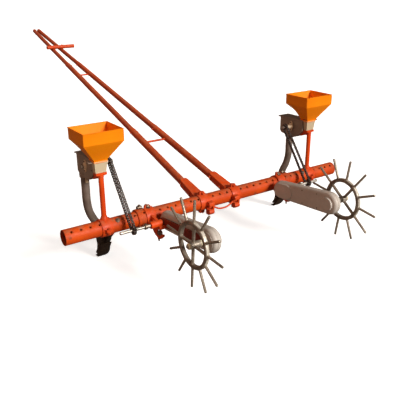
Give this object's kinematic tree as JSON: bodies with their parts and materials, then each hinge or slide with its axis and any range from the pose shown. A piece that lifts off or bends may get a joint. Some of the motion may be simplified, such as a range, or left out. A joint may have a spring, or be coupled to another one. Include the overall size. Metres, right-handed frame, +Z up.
{
  "type": "push seeder",
  "caption": "Hand-pushed row seeder: drilled toolbar with hoppers, chain-driven metering units, furrow openers, spiked ground wheels and a long converging push handle.",
  "frame": {"origin": "middle of the bounding box in plan, at the lowest point (underside of the furrow openers)", "axes": "+X along the toolbar, +Y from the spiked wheels towards the push handle, +Z up"},
  "size_m": [1.872, 3.5205, 1.0364],
  "materials": {
    "frame_paint": "orange-red gloss enamel, chipped and worn at edges and clamps",
    "hopper_paint": "bright orange enamel on folded sheet",
    "meter_casting": "cream-coated casting, dusty",
    "housing_metal": "grey-brown coated sheet, matt and dusty",
    "flange_casting": "cream-painted bearing flange",
    "bright_steel": "bright zinc-plated bar",
    "chain_steel": "dark oiled steel with bright rollers",
    "tube_plastic": "grey-brown flexible tube, dusty",
    "opener_steel": "black paint, rubbed at the share",
    "case_paint": "light grey painted pressed halves",
    "worn_steel": "bare steel worn by soil, brown in the hollows"
  },
  "bodies": {
    "main_frame": {"toolbar": "frame_paint", "left_hopper": "hopper_paint", "left_metering_front": "meter_casting", "left_metering_housing": "housing_metal", "left_bearing_flange": "flange_casting", "left_seed_tube": "tube_plastic", "left_opener_boot": "opener_steel", "left_opener_share": "opener_steel", "left_unit_post": "frame_paint", "left_post_clamp_cap": "frame_paint", "left_arm_clamp": "frame_paint", "left_arm_clamp_cap": "frame_paint", "left_seed_chain": "chain_steel", "right_hopper": "hopper_paint", "right_metering_front": "meter_casting", "right_metering_housing": "housing_metal", "right_bearing_flange": "flange_casting", "right_seed_tube": "tube_plastic", "right_opener_boot": "opener_steel", "right_opener_share": "opener_steel", "right_unit_post": "frame_paint", "right_post_clamp_cap": "frame_paint", "right_arm_clamp": "frame_paint", "right_arm_clamp_cap": "frame_paint", "right_seed_chain": "chain_steel"},
    "push_handle": {"left_pole_bracket": "frame_paint", "left_bracket_cap": "frame_paint", "left_lower_pole": "frame_paint", "left_middle_pole": "frame_paint", "left_upper_pole": "frame_paint", "right_pole_bracket": "frame_paint", "right_bracket_cap": "frame_paint", "right_lower_pole": "frame_paint", "right_middle_pole": "frame_paint", "right_upper_pole": "frame_paint", "lower_brace": "frame_paint", "upper_brace": "frame_paint", "handle_bar": "frame_paint", "tie_rod": "frame_paint"},
    "left_drive": {"left_jackshaft": "bright_steel", "left_lower_sprocket": "chain_steel"},
    "left_meter": {"left_metering_rotor": "bright_steel", "left_upper_sprocket": "chain_steel"},
    "left_arm": {"left_wheel_arm": "frame_paint", "left_case_inner": "case_paint", "left_case_outer": "case_paint", "left_case_chain": "chain_steel"},
    "left_wheel": {"left_ground_wheel": "worn_steel", "left_wheel_axle": "bright_steel"},
    "right_drive": {"right_jackshaft": "bright_steel", "right_lower_sprocket": "chain_steel"},
    "right_meter": {"right_metering_rotor": "bright_steel", "right_upper_sprocket": "chain_steel"},
    "right_arm": {"right_wheel_arm": "frame_paint", "right_case_inner": "case_paint", "right_case_outer": "case_paint", "right_case_chain": "chain_steel"},
    "right_wheel": {"right_ground_wheel": "worn_steel", "right_wheel_axle": "bright_steel"}
  },
  "joints": [
    {"name": "handle_pitch", "type": "hinge", "parent": "main_frame", "child": "push_handle", "pos_m": [0, -1.03755, 0.267], "axis": [1, 0, 0], "range_deg": [-12, 12]},
    {"name": "left_arm_tilt", "type": "hinge", "parent": "main_frame", "child": "left_arm", "pos_m": [-0.436, -1.15485, 0.267], "axis": [1, 0, 0], "range_deg": [-15, 20]},
    {"name": "left_wheel_spin", "type": "hinge", "parent": "left_arm", "child": "left_wheel", "pos_m": [-0.5, -1.53205, 0.3023], "axis": [1, 0, 0], "continuous": true},
    {"name": "left_jackshaft_spin", "type": "hinge", "parent": "main_frame", "child": "left_drive", "pos_m": [-0.5, -1.15485, 0.267], "axis": [1, 0, 0], "continuous": true},
    {"name": "left_meter_spin", "type": "hinge", "parent": "main_frame", "child": "left_meter", "pos_m": [-0.7, -0.92725, 0.5728], "axis": [1, 0, 0], "continuous": true},
    {"name": "right_arm_tilt", "type": "hinge", "parent": "main_frame", "child": "right_arm", "pos_m": [0.436, -1.15485, 0.267], "axis": [1, 0, 0], "range_deg": [-15, 20]},
    {"name": "right_wheel_spin", "type": "hinge", "parent": "right_arm", "child": "right_wheel", "pos_m": [0.5, -1.53205, 0.3023], "axis": [1, 0, 0], "continuous": true},
    {"name": "right_jackshaft_spin", "type": "hinge", "parent": "main_frame", "child": "right_drive", "pos_m": [0.5, -1.15485, 0.267], "axis": [1, 0, 0], "continuous": true},
    {"name": "right_meter_spin", "type": "hinge", "parent": "main_frame", "child": "right_meter", "pos_m": [0.7, -0.92725, 0.5728], "axis": [1, 0, 0], "continuous": true}
  ],
  "couplings": [
    {"joint": "left_jackshaft_spin", "follows": "left_wheel_spin", "ratio": 1.2857},
    {"joint": "left_meter_spin", "follows": "left_wheel_spin", "ratio": 1.6071},
    {"joint": "right_jackshaft_spin", "follows": "right_wheel_spin", "ratio": 1.2857},
    {"joint": "right_meter_spin", "follows": "right_wheel_spin", "ratio": 1.6071}
  ]
}
